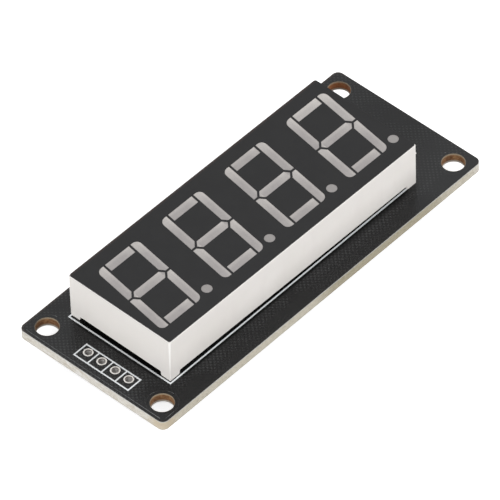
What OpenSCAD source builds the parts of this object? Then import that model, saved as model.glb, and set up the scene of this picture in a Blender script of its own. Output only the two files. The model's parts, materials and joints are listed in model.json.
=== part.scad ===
// Four-digit seven segment display soldered to its driver board.
//
// The origin is the middle of the four mounting holes, on the back face of the
// board. +X runs along the digits, +Y towards their tops and +Z out of their
// face. All sizes are in millimetres and all angles in degrees.

/* [Circuit board] */
// From the display to the end of the board that has the header holes
board_header_end = 6.6; // [6:0.1:12]
// From the display to the other end of the board
board_far_end = 9.1; // [6:0.1:20]
// From the display to each side of the board
board_side = 4.025; // [3:0.025:10]
// Thickness of the board
board_t = 1.6; // [0.8:0.1:2.4]
// Radius of the board's corners
board_corner_r = 1; // [0.3:0.1:1.6]
// Thickness of the copper and tin on pads and in plated holes
plating_t = 0.05; // [0.03:0.01:0.08]

/* [Mounting holes] */
// From the end of the board to the middle of a mounting hole
mount_inset_x = 2.85; // [2.4:0.05:3.2]
// From the side of the board to the middle of a mounting hole
mount_inset_y = 2.8; // [2.4:0.05:3.2]
// Diameter of the mounting holes
mount_hole_d = 3.4; // [2:0.1:3.8]

/* [Header holes] */
// Number of plated holes for the cable header
header_count = 4; // [2:1:5]
// Distance from one header hole to the next
header_pitch = 2.54; // [2:0.01:2.6]
// Bore of a header hole after plating
header_bore_d = 1; // [0.7:0.05:1.1]
// Width of the ring round a header hole
header_ring = 0.24; // [0.15:0.01:0.4]
// Distance from the end of the board to the row of header holes
header_inset = 3; // [2:0.1:3.5]
// How far the row's middle lies below the middle of the board
header_drop = 0.6; // [0:0.1:1]

/* [Display housing] */
// Height of the display from the board to its face
display_h = 7.9; // [7:0.1:12]
// From the digits to each side of the housing
face_margin = 2.45; // [2.2:0.025:4]
// Clearance at each end for another display beside this one
end_clearance = 0.25; // [0.05:0.05:0.3]
// How far the housing lies above the middle of the board's width
display_y = 0.24; // [-0.5:0.02:0.5]
// Angle by which the housing was soldered askew
display_turn = -0.55; // [-1:0.05:1]
// Thickness of the housing's side walls
wall_t = 1; // [0.6:0.1:1.5]
// Radius of the housing's upright edges
housing_edge_r = 0.3; // [0.2:0.05:0.6]
// Width of the bevel round the housing's face
housing_bevel = 0.1; // [0.05:0.05:0.3]
// How much further in each long side wall stands at the board than at the face
side_draft = 0.16; // [0:0.02:0.2]
// Side of the square foot under each corner of the housing
foot_size = 1.9; // [1.4:0.1:2.4]
// Height of the feet, and of the gap below the side walls
foot_h = 0.75; // [0.3:0.05:1.2]
// Radius where a foot runs into the wall, and of its own lower edge
foot_r = 0.25; // [0.1:0.05:0.3]

/* [Digits] */
// Number of digits
digit_count = 4; // [2:1:6]
// Height of a digit
digit_h = 14.25; // [12:0.05:18]
// Width of a digit before it is slanted
digit_w = 8.18; // [7:0.02:10]
// Gap from one digit to the next, which takes the decimal point
digit_gap = 4.52; // [4.4:0.02:6]
// How far the digits lie below the middle of the face
digit_low = 0.08; // [0:0.02:0.2]
// Lean of the digits to the right
slant = 8; // [0:0.5:10]
// Width of the upright segments
upright_w = 1.36; // [0.9:0.02:1.5]
// Width of the level segments
level_w = 1.46; // [0.9:0.02:1.6]
// Gap between neighbouring segments
segment_gap = 0.34; // [0.2:0.02:0.6]
// Gap between the upper and the lower upright segments
waist_gap = 0.34; // [0.3:0.02:0.8]
// Slope of the mitred segment ends
mitre = 50; // [40:1:55]
// Radius of a digit's outer corners
digit_corner_r = 0.95; // [0.3:0.05:1.1]
// Diameter of the decimal points
dot_d = 1.58; // [1:0.02:1.8]
// Gap between a digit and its decimal point
dot_gap = 0.72; // [0.4:0.02:1]
// How far the decimal points reach below the digits
dot_low = 0.08; // [0:0.02:0.5]

/* [Inside the display] */
// Thickness of the printed film on the face
film_t = 0.15; // [0.1:0.05:0.3]
// How far the film's edge lies inside the housing's bevel
film_inset = 0; // [0:0.01:0.1]
// Radius of the film's corners
film_corner_r = 0.35; // [0.1:0.05:0.6]
// How far the resin in the windows lies below the film's face
resin_sink = 0.03; // [0:0.01:0.08]
// How far the resin's back lies above the side walls' lower edge
resin_recess = 0.4; // [0.1:0.1:1]
// Thickness of the resin behind the lamp board
resin_back_t = 0.6; // [0.3:0.1:1]
// Thickness of the lamp board
lamp_board_t = 1; // [0.6:0.1:1.2]
// Gap round and above the lamp board that the resin fills
lamp_board_gap = 0.15; // [0.1:0.05:0.3]
// Width of a light well at its lamp
well_w = 0.9; // [0.6:0.05:1.2]
// Length of a light well at its lamp
well_l = 3; // [1.5:0.1:4]
// Side of a lamp chip
lamp_w = 0.3; // [0.2:0.05:0.4]
// Height of a lamp chip
lamp_h = 0.25; // [0.15:0.05:0.35]

/* [Display pins] */
// Number of pins in each of the two rows
pins_per_row = 6; // [2:1:7]
// Distance from one pin to the next
pin_pitch = 2.54; // [2.2:0.01:3]
// From the side of the housing to a row of pins
pin_inset = 1.955; // [1.7:0.005:2.2]
// Diameter of a pin
pin_d = 0.5; // [0.4:0.05:0.6]
// Length of the pins behind the board
pin_stub = 1.2; // [0.8:0.1:2]
// Clearance round a pin in its plated hole
pin_clearance = 0.2; // [0.1:0.05:0.25]
// Width of the ring round a pin's hole
pin_ring = 0.45; // [0.4:0.05:0.5]
// Radius of the solder fillet round a pin
pin_fillet_r = 0.5; // [0.3:0.05:0.55]

/* [Driver chip] */
// Width of the chip's body
chip_w = 7.5; // [6:0.1:8]
// Height of the chip's body
chip_h = 2.3; // [1.5:0.1:3]
// Gap between the board and the body
chip_gap = 0.15; // [0.1:0.05:0.3]
// Draft of the body's sides
chip_draft = 7; // [0:1:12]
// Number of leads on each side
chip_leads = 10; // [4:1:10]
// Distance from one lead to the next
chip_pitch = 1.27; // [0.9:0.01:1.6]
// From the last lead's middle to the end of the body
chip_end = 0.685; // [0.5:0.005:1]
// Width of a lead
lead_w = 0.42; // [0.3:0.02:0.5]
// Thickness of a lead
lead_t = 0.25; // [0.15:0.01:0.3]
// How far the leads reach out from the body
lead_reach = 1.4; // [1.2:0.05:1.6]
// Length of a lead's flat foot
lead_foot = 0.8; // [0.5:0.05:1]

/* [Chip resistors and capacitors] */
// Length of a resistor or capacitor
smd_l = 2; // [1.6:0.1:3.2]
// Width of a resistor or capacitor
smd_w = 1.25; // [0.8:0.05:1.6]
// Height of a resistor
resistor_h = 0.55; // [0.4:0.05:0.7]
// Height of a capacitor
capacitor_h = 0.85; // [0.6:0.05:1.3]
// Length of the metal ends
smd_end = 0.4; // [0.25:0.05:0.5]
// Thickness of the metal on the ends
smd_end_t = 0.04; // [0.03:0.01:0.06]

/* [Hidden] */
$fn = 48;
eps = 0.01;
through = 1;

// Overall sizes and places
digit_pitch = digit_w + digit_gap;
display_l = digit_count * digit_pitch - 2 * end_clearance;
display_w = digit_h + 2 * face_margin;
display_x = (board_header_end - board_far_end) / 2;
board_l = board_header_end + display_l + board_far_end;
board_w = display_w + 2 * board_side;

// Circuit board
board_top = board_t;
header_x = header_inset - board_l / 2;
header_pad_d = header_bore_d + 2 * header_ring;
mount_x = board_l / 2 - mount_inset_x;
mount_y = board_w / 2 - mount_inset_y;
mount_at = [for (x = [-1, 1], y = [-1, 1]) [x * mount_x, y * mount_y]];
header_at = [for (i = [0 : header_count - 1])
    [header_x, ((header_count - 1) / 2 - i) * header_pitch - header_drop]];

// Heights inside the display, measured from the board's front face
film_bottom = display_h - film_t;
resin_back = foot_h + resin_recess;
lamp_board_bottom = resin_back + resin_back_t;
lamp_board_top = lamp_board_bottom + lamp_board_t;
well_bottom = lamp_board_top + lamp_board_gap;
pocket_l = display_l - 2 * wall_t;
pocket_w = display_w - 2 * wall_t;

// Sheared moulding gate on the housing's end wall
gate_d = 0.32;
gate_h = 0.25;
gate_inset = 0.4;
gate_drop = 2.25;

// The film's corners never reach over the housing's upright edges
film_round_r = max(film_corner_r, housing_edge_r - housing_bevel - film_inset);

// Digits
half_w = digit_w / 2;
half_h = digit_h / 2;
inner_w = half_w - upright_w;
waist_x = half_w - upright_w / 2;
level_l = inner_w - segment_gap;
middle_tip = waist_x - (segment_gap - waist_gap / 2 * cos(mitre)) / sin(mitre);
SEGMENTS = ["a", "b", "c", "d", "e", "f", "g"];

// Pins are counted along the lower row, then back along the upper one
pin_count = 2 * pins_per_row;
pin_row_pitch = display_w - 2 * pin_inset;
pin_bore_d = pin_d + 2 * pin_clearance;
pin_pad_d = pin_bore_d + 2 * pin_ring;
pin_top = lamp_board_top + lamp_board_gap / 2;
fillet_tip = 0.03;

// Driver chip, upside down on the back of the board
chip_x = display_x;
chip_y = display_y;
chip_l = (chip_leads - 1) * chip_pitch + 2 * chip_end;
lead_span = chip_w + 2 * lead_reach;
chip_top = chip_gap + chip_h;
lead_mid = chip_top - chip_h / 2;
lead_root = 0.6;
lead_lean = 0.25;
lead_bend_steps = 4;
lead_bend_r = 0.3;
lead_pad_l = 2;
lead_pad_w = 0.6;
lead_pad_out = 0.35;
dimple_d = 1.2;
dimple_t = 0.1;
dimple_in = 1.4;
toe_l = 0.25;

// Resistors and capacitors on the back: middle of each, from the nearer end of
// the chip and the middle of its width, and its turn
resistor_at = [for (p = [[-7.3, 4, 90], [-4.5, 4, 90]]) beside_chip(p)];
capacitor_at = [for (p = [[-5.9, -3.8, 0], [3.3, -3.6, 90], [6.5, 1, 90]]) beside_chip(p)];
smd_pad_out = 0.45;
smd_pad_in = 0.35;
smd_pad_l = smd_end + smd_pad_out + smd_pad_in;
smd_pad_mid = smd_l / 2 + smd_pad_out - smd_pad_l / 2;
smd_pad_side = 0.075;
smd_pad_w = smd_w + 2 * smd_pad_side;
fillet_l = 0.3;
fillet_h = 0.35;

function beside_chip(p) = [chip_x + sign(p[0]) * chip_l / 2 + p[0], chip_y + p[1], p[2]];
function digit_x(d) = (d - (digit_count + 1) / 2) * digit_pitch;
function lean(p) = [p[0] + p[1] * tan(slant), p[1]];
function flip_x(pts) = [for (p = pts) [-p[0], p[1]]];
function flip_y(pts) = [for (p = pts) [p[0], -p[1]]];

// Quarter turn round the outer corner of an upright segment
corner_steps = 6;
corner_arc = [for (i = [0 : corner_steps]) let (turn = 90 * i / corner_steps)
    [half_w - digit_corner_r * (1 - sin(turn)), half_h - digit_corner_r * (1 - cos(turn))]];

// Upper right segment before slanting: rounded at the top, mitred at the waist
upright = concat(
    [[inner_w, half_h]],
    corner_arc,
    [[half_w, waist_gap / 2],
     [waist_x, waist_gap / 2],
     [inner_w, waist_gap / 2 + (waist_x - inner_w) * tan(mitre)]]);
level = [[-level_l, half_h], [level_l, half_h],
    [level_l, half_h - level_w], [-level_l, half_h - level_w]];
middle_corner = middle_tip - level_w / 2 / tan(mitre);
middle = [[-middle_tip, 0], [-middle_corner, level_w / 2], [middle_corner, level_w / 2],
    [middle_tip, 0], [middle_corner, -level_w / 2], [-middle_corner, -level_w / 2]];

function straight(s) =
    s == "a" ? level :
    s == "b" ? upright :
    s == "c" ? flip_y(upright) :
    s == "d" ? flip_y(level) :
    s == "e" ? flip_x(flip_y(upright)) :
    s == "f" ? flip_x(upright) : middle;
function outline(s) = [for (p = straight(s)) lean(p)];

// Where each segment's lamp sits
function lamp_place(s) =
    s == "a" ? lean([0, half_h - level_w / 2]) :
    s == "d" ? lean([0, level_w / 2 - half_h]) :
    s == "g" ? [0, 0] :
    lean([(s == "b" || s == "c" ? 1 : -1) * waist_x, (s == "b" || s == "f" ? 1 : -1) * half_h / 2]);
dot_place = lean([half_w + dot_gap + dot_d / 2, dot_d / 2 - half_h - dot_low]);

// Share of its face size that a well keeps at its lamp
function well_taper(s) = s == "a" || s == "d" || s == "g" ?
    [well_l / (2 * level_l), well_w / level_w] :
    [well_w / upright_w, well_l / (half_h - waist_gap / 2)];

function pin_place(i) = let (column = (i - 1) % pins_per_row, upper = i > pins_per_row)
    [(upper ? -1 : 1) * (column - (pins_per_row - 1) / 2) * pin_pitch,
     (upper ? 1 : -1) * pin_row_pitch / 2];
function turned(p) = [display_x + p[0] * cos(display_turn) - p[1] * sin(display_turn),
    display_y + p[0] * sin(display_turn) + p[1] * cos(display_turn)];

DIGITS = [1 : digit_count];
HEADERS = [1 : header_count];
PINS = [1 : pin_count];
RESISTORS = [1 : len(resistor_at)];
CAPACITORS = [1 : len(capacitor_at)];

// ---- Shapes that several pieces share ----

module rounded_rectangle(l, w, r) {
    square([l - 2 * r, w], center = true);
    square([l, w - 2 * r], center = true);
    for (x = [-1, 1], y = [-1, 1])
        translate([x * (l / 2 - r), y * (w / 2 - r)]) circle(r);
}

module in_display() {
    translate([display_x, display_y, board_top]) rotate([0, 0, display_turn]) children();
}

module on_back(place) {
    translate([place[0], place[1], 0]) rotate([0, 0, place[2]]) mirror([0, 0, 1]) children();
}

// A plated hole: a tube through the board with a ring on each face
module eyelet(bore, pad) {
    difference() {
        union() {
            translate([0, 0, -plating_t]) cylinder(h = board_t + 2 * plating_t, d = bore + 2 * plating_t);
            for (z = [-plating_t, board_top]) translate([0, 0, z]) cylinder(h = plating_t, d = pad);
        }
        translate([0, 0, -through]) cylinder(h = board_t + 2 * through, d = bore);
    }
}

// A light well from the film down to its lamp
module well(s) {
    place = lamp_place(s);
    translate([place[0], place[1], film_bottom])
        mirror([0, 0, 1])
            linear_extrude(height = film_bottom - well_bottom, scale = well_taper(s), slices = 1, $fn = 4)
                polygon([for (p = outline(s)) p - place]);
}

module dot_well() {
    translate([dot_place[0], dot_place[1], well_bottom])
        cylinder(h = film_bottom - well_bottom, d1 = well_w, d2 = dot_d);
}

module wells() {
    for (d = DIGITS) translate([digit_x(d), -digit_low, 0]) {
        for (s = SEGMENTS) well(s);
        dot_well();
    }
}

module windows(from, to) {
    for (d = DIGITS) translate([digit_x(d), -digit_low, from]) {
        for (s = SEGMENTS) linear_extrude(height = to - from) polygon(outline(s));
        translate([dot_place[0], dot_place[1], 0]) cylinder(h = to - from, d = dot_d);
    }
}

module lamp(place) {
    translate([place[0] - lamp_w / 2, place[1] - lamp_w / 2, lamp_board_top])
        cube([lamp_w, lamp_w, lamp_h]);
}

module lamps(d) {
    translate([digit_x(d), -digit_low, 0]) {
        for (s = SEGMENTS) lamp(lamp_place(s));
        lamp(dot_place);
    }
}

module pin_rod(i) {
    place = pin_place(i);
    bottom = -board_t - pin_stub;
    translate([place[0], place[1], bottom]) cylinder(h = pin_top - bottom, d = pin_d);
}

// ---- Circuit board ----

module board_hole(place, d) {
    translate(concat(place, -through)) cylinder(h = board_t + 2 * through, d = d);
}

module printed_board() {
    color("#3c3c3c") difference() {
        linear_extrude(height = board_t) rounded_rectangle(board_l, board_w, board_corner_r);
        for (p = mount_at) board_hole(p, mount_hole_d);
        for (p = header_at) board_hole(p, header_bore_d + 2 * plating_t);
        for (i = PINS) board_hole(turned(pin_place(i)), pin_bore_d + 2 * plating_t);
    }
}

module header_eyelet(i) {
    color("#d8d6d2") translate(header_at[i - 1]) eyelet(header_bore_d, header_pad_d);
}

module pin_eyelets() {
    color("#d8d6d2") for (i = PINS) translate(turned(pin_place(i))) eyelet(pin_bore_d, pin_pad_d);
}

module surface_pads() {
    color("#d8d6d2") {
        for (side = [-1, 1], i = [0 : chip_leads - 1])
            on_back([chip_x + (i - (chip_leads - 1) / 2) * chip_pitch,
                     chip_y + side * (lead_span / 2 + lead_pad_out - lead_pad_l / 2), 0])
                translate([-lead_pad_w / 2, -lead_pad_l / 2, 0])
                    cube([lead_pad_w, lead_pad_l, plating_t]);
        for (place = concat(resistor_at, capacitor_at), side = [-1, 1])
            on_back(place)
                translate([side * smd_pad_mid - smd_pad_l / 2, -smd_pad_w / 2, 0])
                    cube([smd_pad_l, smd_pad_w, plating_t]);
    }
}

// ---- Display ----

// The housing seen from one side: its walls' draft and the bevels at its face
function housing_profile(half, draft) = [
    [draft - half, 0], [-half, film_bottom - housing_bevel], [housing_bevel - half, film_bottom],
    [half - housing_bevel, film_bottom], [half, film_bottom - housing_bevel], [half - draft, 0]];

// The housing's outside between two heights
module housing_slice(low, high) {
    intersection() {
        translate([0, 0, low]) linear_extrude(height = high - low)
            rounded_rectangle(display_l, display_w, housing_edge_r);
        translate([0, display_w, 0]) rotate([90, 0, 0])
            linear_extrude(height = 2 * display_w) polygon(housing_profile(display_l / 2, 0));
        rotate([90, 0, 90]) translate([0, 0, -display_l])
            linear_extrude(height = 2 * display_l)
                polygon(housing_profile(display_w / 2, side_draft));
    }
}

// Side view of a foot, with a fillet into the wall and a rounded lower edge
module foot_profile() {
    difference() {
        square([foot_size + foot_r, foot_h]);
        translate([foot_size + foot_r, foot_h - foot_r]) circle(foot_r);
        translate([foot_size, -eps]) square([foot_r + eps, foot_h - foot_r + eps]);
        translate([foot_size - foot_r, -eps]) difference() {
            square([foot_r + eps, foot_r + eps]);
            translate([0, foot_r + eps]) circle(foot_r);
        }
    }
}

// A square foot, seen from the side along X and along Y
module foot() {
    intersection() {
        translate([0, 2 * foot_size, 0]) rotate([90, 0, 0])
            linear_extrude(height = 2 * foot_size) foot_profile();
        mirror([1, -1, 0]) translate([0, 2 * foot_size, 0]) rotate([90, 0, 0])
            linear_extrude(height = 2 * foot_size) foot_profile();
    }
}

module feet() {
    intersection() {
        housing_slice(0, foot_h);
        for (x = [0, 1], y = [0, 1]) mirror([x, 0, 0]) mirror([0, y, 0])
            translate([-display_l / 2, -display_w / 2, 0]) foot();
    }
}

// What the mould's gate left on the end wall
module gate_stub() {
    translate([display_l / 2, gate_inset - display_w / 2, display_h - gate_drop])
        rotate([0, 90, 0]) cylinder(h = gate_h, d = gate_d);
}

module reflector_housing() {
    color("#e4e0db") in_display() {
        difference() {
            housing_slice(foot_h, film_bottom);
            translate([-pocket_l / 2, -pocket_w / 2, 0]) cube([pocket_l, pocket_w, well_bottom]);
            wells();
        }
        feet();
        gate_stub();
    }
}

module face_film() {
    edge = 2 * (housing_bevel + film_inset);
    color("#3b3b3a") in_display() difference() {
        translate([0, 0, film_bottom]) linear_extrude(height = film_t)
            rounded_rectangle(display_l - edge, display_w - edge, film_round_r);
        windows(film_bottom - eps, display_h + eps);
    }
}

module resin_fill() {
    color("#b4afac") in_display() difference() {
        union() {
            translate([-pocket_l / 2, -pocket_w / 2, resin_back])
                cube([pocket_l, pocket_w, well_bottom - resin_back]);
            wells();
            windows(film_bottom, display_h - resin_sink);
        }
        lamp_board_block();
        for (d = DIGITS) lamps(d);
        for (i = PINS) pin_rod(i);
    }
}

module lamp_board_block() {
    l = pocket_l - 2 * lamp_board_gap;
    w = pocket_w - 2 * lamp_board_gap;
    translate([-l / 2, -w / 2, lamp_board_bottom]) cube([l, w, lamp_board_t]);
}

module lamp_board() {
    color("#5a6b3c") in_display() difference() {
        lamp_board_block();
        for (i = PINS) pin_rod(i);
    }
}

module digit_lamps(d) {
    color("#d9c48a") in_display() lamps(d);
}

module display_pin(i) {
    color("#c9c7c2") in_display() pin_rod(i);
}

// Solder in a pin's hole, with a hollow fillet round the pin behind the board
module pin_solder(i) {
    foot_r = pin_d / 2 + fillet_tip + pin_fillet_r;
    low = -plating_t - pin_fillet_r;
    color("#bdbbb6") in_display() translate(concat(pin_place(i), -board_t))
        rotate_extrude() difference() {
            polygon([[pin_d / 2, board_t], [pin_bore_d / 2, board_t], [pin_bore_d / 2, -plating_t],
                [foot_r, -plating_t], [foot_r, low], [pin_d / 2, low]]);
            translate([foot_r, low]) circle(pin_fillet_r);
        }
}

// ---- Driver chip ----

function unit(v) = v / norm(v);
function left_of(v) = [-v[1], v[0]];

// A bent strip's centre line, with each bend as a short arc
function bend(a, b, c, r, steps) =
    let (u = unit(a - b), v = unit(c - b), half = acos(u * v) / 2, cut = r / tan(half),
         centre = b + unit(u + v) * r / sin(half), from = b + u * cut - centre, to = b + v * cut - centre)
    [for (i = [0 : steps]) let (w = unit(from * (1 - i / steps) + to * i / steps)) centre + w * r];

// One edge of a strip, half its thickness to the side of its centre line
function strip_edge(p, side) = [for (i = [0 : len(p) - 1])
    let (a = unit(i == 0 ? p[1] - p[0] : p[i] - p[i - 1]),
         b = i == len(p) - 1 ? a : unit(p[i + 1] - p[i]),
         n = unit(left_of(a) + left_of(b)))
    p[i] + n * side / (n * left_of(a))];
function reversed(p) = [for (i = [len(p) - 1 : -1 : 0]) p[i]];

lead_heel = lead_span / 2 - lead_foot;
lead_knee = lead_heel - lead_lean;
lead_low = plating_t + lead_t / 2;
lead_root_at = [chip_w / 2 - lead_root, lead_mid];
lead_knee_at = [lead_knee, lead_mid];
lead_heel_at = [lead_heel, lead_low];
lead_tip_at = [lead_span / 2, lead_low];
lead_line = concat(
    [lead_root_at],
    bend(lead_root_at, lead_knee_at, lead_heel_at, lead_bend_r, lead_bend_steps),
    bend(lead_knee_at, lead_heel_at, lead_tip_at, lead_bend_r, lead_bend_steps),
    [lead_tip_at]);

module lead() {
    translate([-lead_w / 2, 0, 0]) rotate([90, 0, 90]) linear_extrude(height = lead_w)
        polygon(concat(strip_edge(lead_line, lead_t / 2), reversed(strip_edge(lead_line, -lead_t / 2))));
}

module lead_rows() {
    for (side = [0, 180], i = [0 : chip_leads - 1])
        rotate([0, 0, side]) translate([(i - (chip_leads - 1) / 2) * chip_pitch, 0, 0]) lead();
}

// Moulded body: both halves taper away from the plane of the leads
module chip_block() {
    taper = chip_h / 2 * tan(chip_draft);
    sides = [for (half = [chip_l / 2, chip_w / 2])
        [[taper - half, chip_gap], [-half, lead_mid], [taper - half, chip_top],
         [half - taper, chip_top], [half, lead_mid], [half - taper, chip_gap]]];
    intersection() {
        translate([0, chip_w, 0]) rotate([90, 0, 0])
            linear_extrude(height = 2 * chip_w) polygon(sides[0]);
        rotate([90, 0, 90]) translate([0, 0, -chip_l])
            linear_extrude(height = 2 * chip_l) polygon(sides[1]);
    }
}

module driver_body() {
    color("#2b2b2c") on_back([chip_x, chip_y, 0]) difference() {
        chip_block();
        lead_rows();
        translate([dimple_in - chip_l / 2, dimple_in - chip_w / 2, chip_top - dimple_t])
            cylinder(h = 2 * dimple_t, d = dimple_d);
    }
}

module driver_leads() {
    color("#c9c7c2") on_back([chip_x, chip_y, 0]) lead_rows();
}

// ---- Chip resistors and capacitors ----

module smd_core(h) {
    translate([smd_end_t - smd_l / 2, smd_end_t - smd_w / 2, plating_t + smd_end_t])
        cube([smd_l - 2 * smd_end_t, smd_w - 2 * smd_end_t, h - 2 * smd_end_t]);
}

module smd_ends(h) {
    difference() {
        for (x = [-smd_l / 2, smd_l / 2 - smd_end])
            translate([x, -smd_w / 2, plating_t]) cube([smd_end, smd_w, h]);
        smd_core(h);
    }
}

module resistor(i) {
    color("#26262a") on_back(resistor_at[i - 1]) smd_core(resistor_h);
}

module resistor_ends(i) {
    color("#c9c7c2") on_back(resistor_at[i - 1]) smd_ends(resistor_h);
}

module capacitor(i) {
    color("#b49468") on_back(capacitor_at[i - 1]) smd_core(capacitor_h);
}

module capacitor_ends(i) {
    color("#c9c7c2") on_back(capacitor_at[i - 1]) smd_ends(capacitor_h);
}

// Wedge of solder on a pad, rising against the end of a lead or a metal end
module wedge(l, w, h) {
    translate([0, w / 2, plating_t]) rotate([90, 0, 0])
        linear_extrude(height = w) polygon([[0, 0], [l, 0], [0, h]]);
}

module surface_solder() {
    color("#bdbbb6") {
        for (place = concat(resistor_at, capacitor_at)) on_back(place)
            for (side = [0, 180]) rotate([0, 0, side])
                translate([smd_l / 2, 0, 0]) wedge(fillet_l, smd_w, fillet_h);
        for (side = [90, 270], i = [0 : chip_leads - 1])
            on_back([chip_x + (i - (chip_leads - 1) / 2) * chip_pitch, chip_y, side])
                translate([lead_span / 2, 0, 0]) wedge(toe_l, lead_w, lead_t);
    }
}

printed_board();
for (i = HEADERS) header_eyelet(i);
pin_eyelets();
surface_pads();
reflector_housing();
face_film();
resin_fill();
lamp_board();
for (i = DIGITS) digit_lamps(i);
for (i = PINS) display_pin(i);
for (i = PINS) pin_solder(i);
driver_body();
driver_leads();
for (i = RESISTORS) resistor(i);
for (i = RESISTORS) resistor_ends(i);
for (i = CAPACITORS) capacitor(i);
for (i = CAPACITORS) capacitor_ends(i);
surface_solder();
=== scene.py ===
"""Four-digit seven segment display on its driver board: finishes, printed
legend, copper relief under the mask, studio and camera."""

import json
import math

import bpy
from mathutils import Matrix, Vector


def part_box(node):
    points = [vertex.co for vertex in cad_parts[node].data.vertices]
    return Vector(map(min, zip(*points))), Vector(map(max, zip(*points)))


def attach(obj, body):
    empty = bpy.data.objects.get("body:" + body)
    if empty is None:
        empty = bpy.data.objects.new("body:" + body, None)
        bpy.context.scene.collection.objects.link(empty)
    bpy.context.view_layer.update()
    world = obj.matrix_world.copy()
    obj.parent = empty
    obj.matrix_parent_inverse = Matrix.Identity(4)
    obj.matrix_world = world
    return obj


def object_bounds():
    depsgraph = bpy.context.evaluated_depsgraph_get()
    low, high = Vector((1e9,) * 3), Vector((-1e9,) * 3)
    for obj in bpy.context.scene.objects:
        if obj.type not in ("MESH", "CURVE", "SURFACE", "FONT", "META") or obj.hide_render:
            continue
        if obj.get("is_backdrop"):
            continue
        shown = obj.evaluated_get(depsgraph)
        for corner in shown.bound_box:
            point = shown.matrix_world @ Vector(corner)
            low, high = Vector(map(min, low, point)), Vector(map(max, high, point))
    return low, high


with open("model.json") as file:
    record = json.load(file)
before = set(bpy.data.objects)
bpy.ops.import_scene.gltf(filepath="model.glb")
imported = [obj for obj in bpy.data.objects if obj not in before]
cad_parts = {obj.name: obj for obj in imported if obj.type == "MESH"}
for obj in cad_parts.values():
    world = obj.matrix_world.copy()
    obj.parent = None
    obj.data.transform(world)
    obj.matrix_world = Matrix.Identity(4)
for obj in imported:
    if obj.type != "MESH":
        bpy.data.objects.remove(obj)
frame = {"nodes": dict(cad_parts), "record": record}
cad_low, cad_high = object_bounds()
nodes = frame["nodes"]

MM = 0.001


def span(name):
    """The lowest and the highest corner of a CAD node, in millimetres."""
    return tuple(tuple(value / MM for value in corner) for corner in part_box(name))


def middle_of(name):
    """The middle of a CAD node's box, in millimetres."""
    lowest, highest = span(name)
    return tuple((a + b) / 2 for a, b in zip(lowest, highest))


# ---------------------------------------------------------------- places
# All lengths are in millimetres, and +X runs from the header end to the far end.

_, (BOARD_HALF_L, BOARD_HALF_W, BOARD_T) = span("printed_board")
BOARD_CORNER = 1.0
HOLES = next(m for m in frame["record"]["mounts"] if m["name"] == "mounting_holes")["dims"]
MOUNT_X = HOLES["spacing_x_mm"] / 2
MOUNT_Y = HOLES["spacing_y_mm"] / 2
MOUNT_R = HOLES["hole_r_mm"]
HEADER = [middle_of("header_eyelet_%d" % i)[:2] for i in (1, 2, 3, 4)]
HEADER_BORE = 1.0
CHIP_LOW, CHIP_HIGH = span("driver_body")

# The display is soldered a little askew, so its box is wider than it is.
HOUSING_LOW, HOUSING_HIGH = span("reflector_housing")
HOUSING_MID = middle_of("reflector_housing")
FACE_MID = middle_of("face_film")
DISPLAY_TURN = math.radians(-0.55)
DISPLAY_COS, DISPLAY_SIN = math.cos(DISPLAY_TURN), math.sin(DISPLAY_TURN)
SIDE_DRAFT = 0.16
FOOT = 1.9

# The digits, and their segments' places from a digit's middle
DIGIT_PITCH = 12.7
DIGIT_LOW = 0.08
DIGIT_SLANT = math.tan(math.radians(8))
BAR_SPACING = 6.4
UPRIGHT_LINE = 3.41
UPRIGHT_INSIDE = (2.5, 2.7)
POINT_INSIDE = (4.2, 4.3)

# The printed outline round the display, and the one round the header
OUTLINE_LOW = (-26.925, -9.36)
OUTLINE_HIGH = (23.5, 9.9)
OUTLINE_W = 0.235
LEGEND_LOW = (-31.655, -5.80)
LEGEND_HIGH = (-28.897, 4.54)
LEGEND_W = 0.22


def unturned_half(low, high):
    """Half the length and width of a turned box, from the box around it."""
    half_x, half_y = (high[0] - low[0]) / 2, (high[1] - low[1]) / 2
    lean = abs(DISPLAY_SIN)
    scale = DISPLAY_COS ** 2 - lean ** 2
    return (
        (half_x * DISPLAY_COS - half_y * lean) / scale,
        (half_y * DISPLAY_COS - half_x * lean) / scale,
    )


HOUSING_HALF = unturned_half(HOUSING_LOW, HOUSING_HIGH)


def srgb(red, green, blue):
    """A colour given as 0 to 255 in sRGB, as the shader wants it."""
    parts = []
    for part in (red, green, blue):
        part = part / 255
        parts.append(part / 12.92 if part <= 0.04045 else ((part + 0.055) / 1.055) ** 2.4)
    return (*parts, 1.0)


# ---------------------------------------------------------------- shaders


class Wire:
    """One output of a node. Its operators add Math nodes to the finish."""

    def __init__(self, finish, socket):
        self.finish = finish
        self.socket = socket

    def out(self, name):
        return Wire(self.finish, self.socket.node.outputs[name])

    def math(self, operation, first, second=0.0):
        return self.finish.node("Math", {"operation": operation}, {0: first, 1: second})

    def __add__(self, other):
        return self.math("ADD", self, other)

    def __radd__(self, other):
        return self.math("ADD", other, self)

    def __sub__(self, other):
        return self.math("SUBTRACT", self, other)

    def __rsub__(self, other):
        return self.math("SUBTRACT", other, self)

    def __mul__(self, other):
        return self.math("MULTIPLY", self, other)

    def __rmul__(self, other):
        return self.math("MULTIPLY", other, self)

    def __truediv__(self, other):
        return self.math("DIVIDE", self, other)

    def __abs__(self):
        return self.math("ABSOLUTE", self)


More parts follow.
